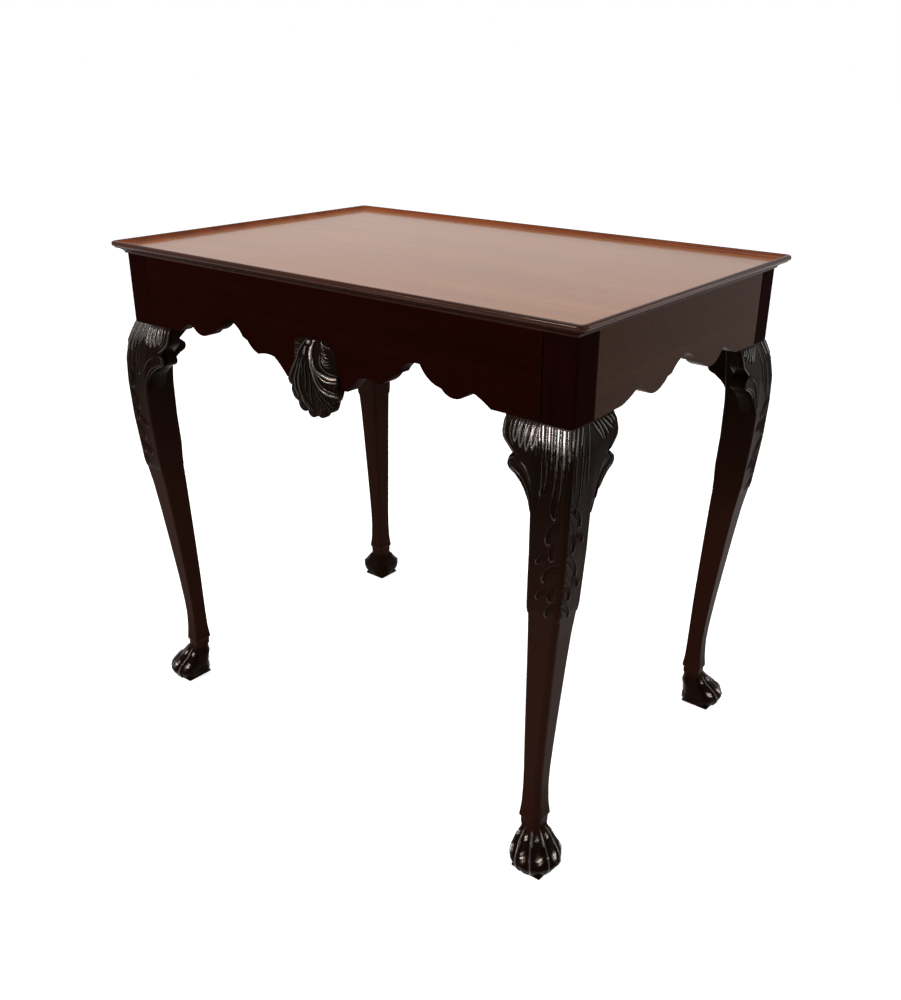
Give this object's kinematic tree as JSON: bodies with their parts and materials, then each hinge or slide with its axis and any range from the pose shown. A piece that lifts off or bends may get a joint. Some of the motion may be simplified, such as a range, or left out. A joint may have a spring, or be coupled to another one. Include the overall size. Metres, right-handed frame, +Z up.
{
  "type": "tea table",
  "caption": "Rectangular mahogany tea table with a moulded tray top, a shaped frieze with a carved shell, and carved cabriole legs on paw feet.",
  "frame": {"origin": "on the floor under the middle of the table", "axes": "+X along the length, +Y from the front towards the back, +Z up; the pictured long side with the shell faces -Y"},
  "size_m": [0.832, 0.5704, 0.752],
  "materials": {
    "carved_mahogany": "dark waxed mahogany, polished on the high places of the carving",
    "rail_mahogany": "dark waxed mahogany, smooth",
    "top_mahogany": "polished mahogany, mirror-like at a low angle",
    "block_pine": "bare darkened pine",
    "iron_screws": "dull iron"
  },
  "bodies": {
    "root": {"leg_front_right": "carved_mahogany", "leg_front_left": "carved_mahogany", "leg_back_right": "carved_mahogany", "leg_back_left": "carved_mahogany", "ear_front_rail_right": "carved_mahogany", "ear_front_rail_left": "carved_mahogany", "ear_back_rail_right": "carved_mahogany", "ear_back_rail_left": "carved_mahogany", "ear_right_rail_front": "carved_mahogany", "ear_right_rail_back": "carved_mahogany", "ear_left_rail_front": "carved_mahogany", "ear_left_rail_back": "carved_mahogany", "shell_front": "carved_mahogany", "shell_back": "carved_mahogany", "rail_front": "rail_mahogany", "rail_right": "rail_mahogany", "rail_back": "rail_mahogany", "rail_left": "rail_mahogany", "lip_front": "top_mahogany", "lip_right": "top_mahogany", "lip_back": "top_mahogany", "lip_left": "top_mahogany", "top_board": "top_mahogany", "glue_blocks_front": "block_pine", "glue_blocks_right": "block_pine", "glue_blocks_back": "block_pine", "glue_blocks_left": "block_pine", "corner_block_front_rail_a": "block_pine", "corner_block_front_rail_b": "block_pine", "corner_block_right_rail_a": "block_pine", "corner_block_right_rail_b": "block_pine", "corner_block_back_rail_a": "block_pine", "corner_block_back_rail_b": "block_pine", "corner_block_left_rail_a": "block_pine", "corner_block_left_rail_b": "block_pine", "top_screws": "iron_screws"}
  },
  "joints": []
}
